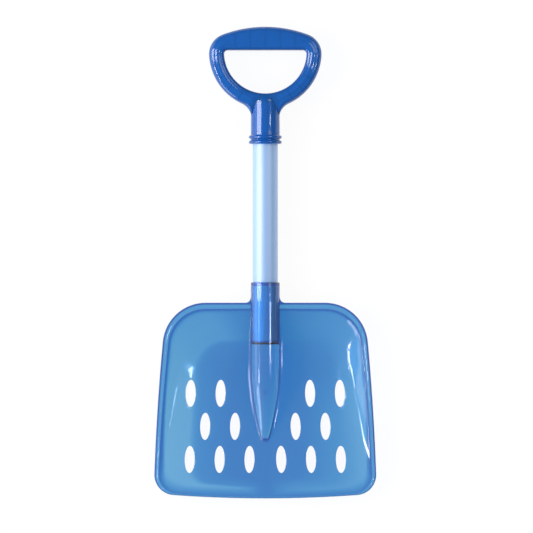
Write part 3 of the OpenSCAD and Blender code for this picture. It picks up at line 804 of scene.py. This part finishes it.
first, second = grip_mouth_y + ring_r, grip_mouth_y + ring_r + ring_pitch
hollow_r = ring_pitch / 2 - ring_r * math.cos(math.radians(16))
hollow = [(first + ring_pitch / 2 - hollow_r * math.cos(a), bead_c + 0.51 - hollow_r * math.sin(a))
          for a in np.radians([20, 55, 90, 125, 160])]
foot = [(second + ring_r * 0.96 + 0.7 * (1 - math.cos(a)), bead_c + 0.5 - 0.72 * math.sin(a))
        for a in np.radians([20, 45, 70, 90])]
dome = [(dome_y - dome_r + dome_r * math.sin(a), socket_r - dome_r + dome_r * math.cos(a))
        for a in np.radians(np.linspace(0, 88, 12))]
profile = [(grip_mouth_y, bore_r + 0.3)] + bead(first, 0, 164) + hollow + bead(second, 16, 164) + foot
profile += [(mix(profile[-1][0], dome[0][0], t), socket_r) for t in (0.3, 0.6)]
combine(handle, turned("grip_sleeve", profile + dome))
bore = [(grip_mouth_y - 0.4, bore_r + 1.1), (grip_mouth_y + 0.15, bore_r + 0.4), (grip_mouth_y + 0.5, bore_r),
        (tube_end_y, bore_r), (tube_end_y, bore_r - 3), (dome_y - dome_r, bore_r - 3.2),
        (dome_y - 4.2, bore_r - 4.6), (dome_y - 3.2, bore_r - 7)]
combine(handle, turned("grip_bore", bore), "DIFFERENCE")
combine(handle, screw_cut(grip_screw_y), "DIFFERENCE")
finished(handle, "grip")

# %% [markdown]
# ## The screws
# Two small pan-head screws hold the tube. The head is a flattened cylinder: its rim is bevelled
# round, and the cross slot is cut by two crossed blocks with tapered ends.

# %% The screws
head_r, head_h, shank_r, shank_len = 2.9, 1.3, 1.5, 8
groove_r, groove_pitch, groove_count = 1.2, 0.65, 9
screw_profile = [(-head_h, 1.2), (-head_h * 0.99, 1.6), (-head_h * 0.93, 2.1), (-head_h * 0.78, 2.5),
                 (-head_h * 0.5, 2.78), (-head_h * 0.2, head_r), (-0.08, head_r), (0, head_r - 0.1),
                 (0, shank_r), (0.3, shank_r)]
for k in range(groove_count):
    z = 0.6 + groove_pitch * k
    screw_profile += [(z, groove_r), (z + 0.3, shank_r), (z + 0.36, shank_r)]
screw_profile += [(6.6, groove_r), (shank_len - 0.1, 0.35), (shank_len, 0.25)]


def pan_head_screw(name, node, y):
    """One screw at its place along the shaft, with the cross slot in its head."""
    screw = upright(name, y, seat_z, screw_profile)
    for across in (0, 1):
        arms = []
        for z, half_len, half_w in ((-head_h - 0.5, 1.75, 0.42), (-head_h + 0.8, 1.2, 0.3)):
            a, b = (half_len, half_w) if across else (half_w, half_len)
            arms.append([(p * a, y + q * b, seat_z + z) for p, q in ((1, 1), (-1, 1), (-1, -1), (1, -1))])
        combine(screw, loft("slot", arms), "DIFFERENCE")
    return finished(screw, node)


screws = [pan_head_screw("screw_in_blade_socket", "blade_screw", blade_screw_y),
          pan_head_screw("screw_in_grip_socket", "grip_screw", grip_screw_y)]

# %% [markdown]
# ## Nodes and groups
# By hand, each node is added, its values are typed in and its sockets are wired up. Small helpers
# do the same. Surface effects that the materials share are made once, as node groups.


# %% Nodes and groups
def set_values(node, **values):
    """Types values into a node's sockets."""
    for name, value in values.items():
        node.inputs[name.replace("_", " ")].default_value = value


def add_node(tree, kind, group=None, **values):
    """A new node of a kind, or of a group, with some of its values set."""
    node = tree.nodes.new("ShaderNode" + kind)
    if group:
        node.node_tree = group
    set_values(node, **values)
    return node


def new_group(name, inputs, outputs):
    """An empty group, and the nodes that stand for its inputs and its outputs."""
    group = bpy.data.node_groups.new(name, "ShaderNodeTree")
    for title, value in inputs:
        socket = group.interface.new_socket(name=title, in_out="INPUT", socket_type="NodeSocketFloat")
        socket.default_value = value
    for title in outputs:
        group.interface.new_socket(name=title, in_out="OUTPUT", socket_type="NodeSocketFloat")
    return group, group.nodes.new("NodeGroupInput"), group.nodes.new("NodeGroupOutput")


def math_node(tree, how, a, b):
    """One sum. a and b are numbers or the outputs of other nodes."""
    node = add_node(tree, "Math")
    node.operation = how
    for socket, value in zip(node.inputs, (a, b)):
        if isinstance(value, (int, float)):
            socket.default_value = value
        else:
            tree.links.new(value, socket)
    return node.outputs[0]


def blended(tree, share, first, second):
    """A mix of two shaders. Where the share is 1, it is all the second one."""
    node = add_node(tree, "MixShader")
    for socket, source in zip(node.inputs, (share, first, second)):
        tree.links.new(source, socket)
    return node.outputs["Shader"]


# %% [markdown]
# ## The moulded skin
# Moulded plastic is never a perfect mirror: the skin has a slow ripple and a fine grain, so a
# highlight wavers a little. Two noises, a wide one and a fine one, give that height.


# %% The moulded skin
def moulded_skin():
    group, given, result = new_group("moulded skin", [("Ripple", 1.0), ("Grain", 1.0)], ["Height"])
    place = add_node(group, "TexCoord").outputs["Object"]
    waves = []
    for scale, detail in ((38, 1.5), (900, 2)):
        noise = add_node(group, "TexNoise", Scale=scale, Detail=detail)
        group.links.new(place, noise.inputs["Vector"])
        waves.append(noise.outputs["Fac"])
    slow = math_node(group, "MULTIPLY", waves[0], given.outputs["Ripple"])
    fine = math_node(group, "MULTIPLY", waves[1], given.outputs["Grain"])
    group.links.new(math_node(group, "ADD", slow, fine), result.inputs["Height"])
    return group


skin = moulded_skin()
print("node group:", skin.name)

# %% [markdown]
# ## Fine rubs
# Sand rubs a toy in thin streaks. A noise that is stretched and turned gives a faint mask of
# them, which only changes the roughness.


# %% Fine rubs
def fine_rubs():
    group, given, result = new_group("fine rubs", [("Base", 0.1), ("Amount", 0.1)], ["Roughness"])
    place = add_node(group, "TexCoord").outputs["Object"]
    stretch = add_node(group, "Mapping", Scale=(900, 60, 300), Rotation=(0, 0, math.radians(24)))
    noise = add_node(group, "TexNoise", Scale=1, Detail=3)
    group.links.new(place, stretch.inputs["Vector"])
    group.links.new(stretch.outputs["Vector"], noise.inputs["Vector"])
    lines = math_node(group, "POWER", noise.outputs["Fac"], 5)
    rough = math_node(group, "MULTIPLY", lines, given.outputs["Amount"])
    group.links.new(math_node(group, "ADD", rough, given.outputs["Base"]), result.inputs["Roughness"])
    return group


rubs = fine_rubs()
print("node group:", rubs.name)

# %% [markdown]
# ## Painted light on the tube's ends
# The tube's two ends that sit in the sockets get a paler colour. This is painted light: it stands in
# for the light that the sockets keep from them. A mask along the tube's length tells these ends
# from the part between them.


# %% Painted light on the tube's ends
# A mask for the painted light on the tube's ends.
def painted_light_ends():
    """1 beyond a stretch along Y, 0 within it."""
    group, given, result = new_group("painted light on tube ends", [("Middle", 0.0), ("Half", 0.1)], ["Mask"])
    place = add_node(group, "TexCoord").outputs["Object"]
    parts = add_node(group, "SeparateXYZ")
    group.links.new(place, parts.inputs["Vector"])
    off = math_node(group, "SUBTRACT", parts.outputs["Y"], given.outputs["Middle"])
    far = math_node(group, "ABSOLUTE", off, 0)
    group.links.new(math_node(group, "GREATER_THAN", far, given.outputs["Half"]), result.inputs["Mask"])
    return group


ends = painted_light_ends()
print("node group:", ends.name)

# %% [markdown]
# ## A finish
# Every material is one principled shader. The shared groups feed its roughness and its bump, and
# all else is set on the shader itself, so the export keeps it.


# %% A finish
def finish(name, colour, roughness, rub=0.1, ripple=0.5, grain=0.02, depth=0.0002, **plain):
    """A principled material with the shared skin and rubs. plain holds more of the shader's values."""
    material = bpy.data.materials.new(name)
    material.use_nodes = True
    tree = material.node_tree
    shader = tree.nodes["Principled BSDF"]
    set_values(shader, Base_Color=(*colour, 1), **plain)
    rough = add_node(tree, "Group", rubs, Base=roughness, Amount=rub)
    tree.links.new(rough.outputs["Roughness"], shader.inputs["Roughness"])
    height = add_node(tree, "Group", skin, Ripple=ripple, Grain=grain)
    bump = add_node(tree, "Bump", Strength=0.5, Distance=depth)
    tree.links.new(height.outputs["Height"], bump.inputs["Height"])
    tree.links.new(bump.outputs["Normal"], shader.inputs["Normal"])
    return material


# %% [markdown]
# ## Clear plastic
# Light that passes through blue plastic loses its red on the way, and a thicker wall looks deeper:
# a volume that absorbs does that. To a lamp's shadow rays the plastic is simply see-through, so
# that the lamp lights what lies behind it.


# %% Clear plastic
def clear_depth(material, colour, density):
    """Gives a material its depth: density is how fast the colour deepens on the way through."""
    tree = material.node_tree
    output = tree.nodes["Material Output"]
    passing = add_node(tree, "BsdfTransparent", Color=(0.95, 0.97, 1, 1))
    rays = add_node(tree, "LightPath")
    plastic = tree.nodes["Principled BSDF"]
    surface = blended(tree, rays.outputs["Is Shadow Ray"], plastic.outputs["BSDF"], passing.outputs["BSDF"])
    tree.links.new(surface, output.inputs["Surface"])
    volume = add_node(tree, "VolumeAbsorption", Color=(*colour, 1), Density=density)
    tree.links.new(volume.outputs["Volume"], output.inputs["Volume"])


glossy = {"IOR": 1.47, "Coat_Weight": 0.3, "Coat_Roughness": 0.03}
scoop_plastic = finish("scoop plastic", (0.6, 0.74, 0.86), 0.1, Transmission_Weight=0.94, **glossy)
clear_depth(scoop_plastic, (0.004, 0.64, 0.892), 1600)
grip_plastic = finish("grip plastic", (0.012, 0.125, 0.44), 0.12, Transmission_Weight=0.45, **glossy)
clear_depth(grip_plastic, (0.1, 0.5, 0.8), 300)
print("clear:", scoop_plastic.name, "and", grip_plastic.name)

# %% [markdown]
# ## The tube's coat and the screws' zinc
# The tube has a smooth pale coat with a strong satin sheen. Its two ends inside the sockets are
# painted paler. This is painted light for the shade inside the sockets, and it keeps the sockets from
# looking too deep. The screws are zinc plated.

# %% The tube's coat and the screws' zinc
# The second colour is painted light: the tube's ends inside the sockets are paler than its coat.
tube_colour, painted_light_colour = (0.19, 0.37, 0.68), (0.5, 1, 0.88)
tube_coat = finish("tube coat", tube_colour, 0.5, ripple=0.2, grain=0.01, IOR=1.9, Coat_Weight=1.0,
                   Coat_Roughness=0.5, Coat_IOR=2.2)
tree = tube_coat.node_tree
mask = add_node(tree, "Group", ends, Middle=(mouth_y + grip_mouth_y) / 2 * MM,
                Half=(grip_mouth_y - mouth_y) / 2 * MM)
# The mask swaps in the painted light colour on the tube's two ends.
painted_light_mix = add_node(tree, "Mix")
painted_light_mix.data_type = "RGBA"
set_values(painted_light_mix, A=(*tube_colour, 1), B=(*painted_light_colour, 1))
tree.links.new(mask.outputs["Mask"], painted_light_mix.inputs["Factor"])
tree.links.new(painted_light_mix.outputs["Result"], tree.nodes["Principled BSDF"].inputs["Base Color"])
zinc = finish("zinc plate", (0.62, 0.63, 0.65), 0.3, rub=0.3, ripple=0.1, grain=0.1, depth=0.00005,
              Metallic=1.0)

for piece, material, slot in ((scoop, scoop_plastic, "blade_plastic"), (handle, grip_plastic, "grip_plastic"),
                              (tube, tube_coat, "tube_coat"), (screws[0], zinc, "screw_steel"),
                              (screws[1], zinc, "screw_steel")):
    piece.data.materials.clear()
    piece.data.materials.append(material)
    print(piece.name, "->", material.name)

# %% [markdown]
# ## Floor
# The photograph's ground is pure white. Rays from the camera, and rays that come by way of the
# plastic, see the floor as nearly white light. All others see plain white paint, which keeps the
# shovel's shadow.

# %% Floor
deselect()
bpy.ops.mesh.primitive_plane_add(size=30, location=(0, 0, -0.0002))
floor = bpy.context.object
floor.name = "studio_floor"
paper = bpy.data.materials.new("white paper")
paper.use_nodes = True
tree = paper.node_tree
paint = tree.nodes["Principled BSDF"]
set_values(paint, Base_Color=(0.85, 0.85, 0.85, 1), Roughness=0.9)
glow = add_node(tree, "Emission", Color=(1, 1, 1, 1), Strength=1)
rays = add_node(tree, "LightPath")
seen = math_node(tree, "MAXIMUM", rays.outputs["Is Camera Ray"], rays.outputs["Is Glossy Ray"])
seen = math_node(tree, "MAXIMUM", seen, rays.outputs["Is Transmission Ray"])
share = math_node(tree, "MULTIPLY", seen, 0.93)
white = blended(tree, share, paint.outputs["BSDF"], glow.outputs["Emission"])
tree.links.new(white, tree.nodes["Material Output"].inputs["Surface"])
floor.data.materials.append(paper)

# %% [markdown]
# ## Lamps
# The highlights on the round sockets tell where the lamps stood: soft panels on the left, two
# narrow strips among them that draw the lines on the sockets and along the right wall's crease,
# and two strips and a panel higher up on the right.


# %% Lamps
def panel(name, place, size, strength, turn=0):
    """A soft lamp that faces the shovel straight across, or a place further along it by turn. size is
    its width and length. All are in metres, and the strength is in watts."""
    lamp = bpy.data.lights.new(name, "AREA")
    lamp.shape = "RECTANGLE"
    lamp.size, lamp.size_y = size
    lamp.energy = strength
    stand = bpy.data.objects.new(name, lamp)
    bpy.context.scene.collection.objects.link(stand)
    stand.location = place
    stand.rotation_euler = Vector((place[0], -turn, place[2])).to_track_quat("Z", "X").to_euler()


panel("left lamp", (-1.65, 0.38, 1.35), (1.4, 0.72), 28)
panel("left strip", (-1.655, -0.0375, 1.293), (0.18, 0.115), 0.5)
panel("left front strip", (-1.655, -0.475, 1.293), (0.18, 0.65), 9.5)
panel("left low panel", (-2.1, 0.3, 0.42), (0.7, 3.0), 11)
panel("lower left panel", (-1.5, -1.25, 0.55), (0.8, 0.9), 10, 1.1)
panel("right strip", (1.25, -0.075, 1.5), (0.36, 0.11), 1.8)
panel("right short strip", (1.25, 0.185, 1.5), (0.28, 0.04), 0.7)
panel("right panel", (1.1, 0.95, 1.5), (0.7, 1.2), 6)
print("lamps:", len(bpy.data.lights))

# %% [markdown]
# ## The room
# The rest of the light is an even soft room. Reflections see it much darker, so that the lamps
# alone make highlights, and the camera sees it white.

# %% The room
world = bpy.data.worlds.new("soft room")
bpy.context.scene.world = world
world.use_nodes = True
tree = world.node_tree
rays = add_node(tree, "LightPath")
room = tree.nodes["Background"]
set_values(room, Color=(0.92, 0.96, 1, 1), Strength=0.74)
shaded = room.outputs["Background"]
for ray, strength in (("Is Glossy Ray", 0.1), ("Is Camera Ray", 1)):
    seen = add_node(tree, "Background", Color=(1, 1, 1, 1), Strength=strength)
    shaded = blended(tree, rays.outputs[ray], shaded, seen.outputs["Background"])
tree.links.new(shaded, tree.nodes["World Output"].inputs["Surface"])
print("room light:", round(room.inputs["Strength"].default_value, 2))

# %% [markdown]
# ## Camera
# The photograph looks straight down on the shovel from far away, and a pixel is a millimetre. A
# long lens gives the same flat view.

# %% Camera
camera = bpy.data.objects.new("camera", bpy.data.cameras.new("camera"))
bpy.context.scene.collection.objects.link(camera)
# The picture is 0.533 m wide at the level of the tube's middle.
camera_height, picture_level, picture_width = 6.0, 0.017, 0.533
camera.location = (1.2 * MM, -3.8 * MM, camera_height)
camera.data.sensor_width = 36
camera.data.lens = camera.data.sensor_width * (camera_height - picture_level) / picture_width
camera.data.clip_end = 60
print("lens:", round(camera.data.lens), "mm")
bpy.context.scene.camera = camera
bpy.context.scene.view_settings.view_transform = "Standard"
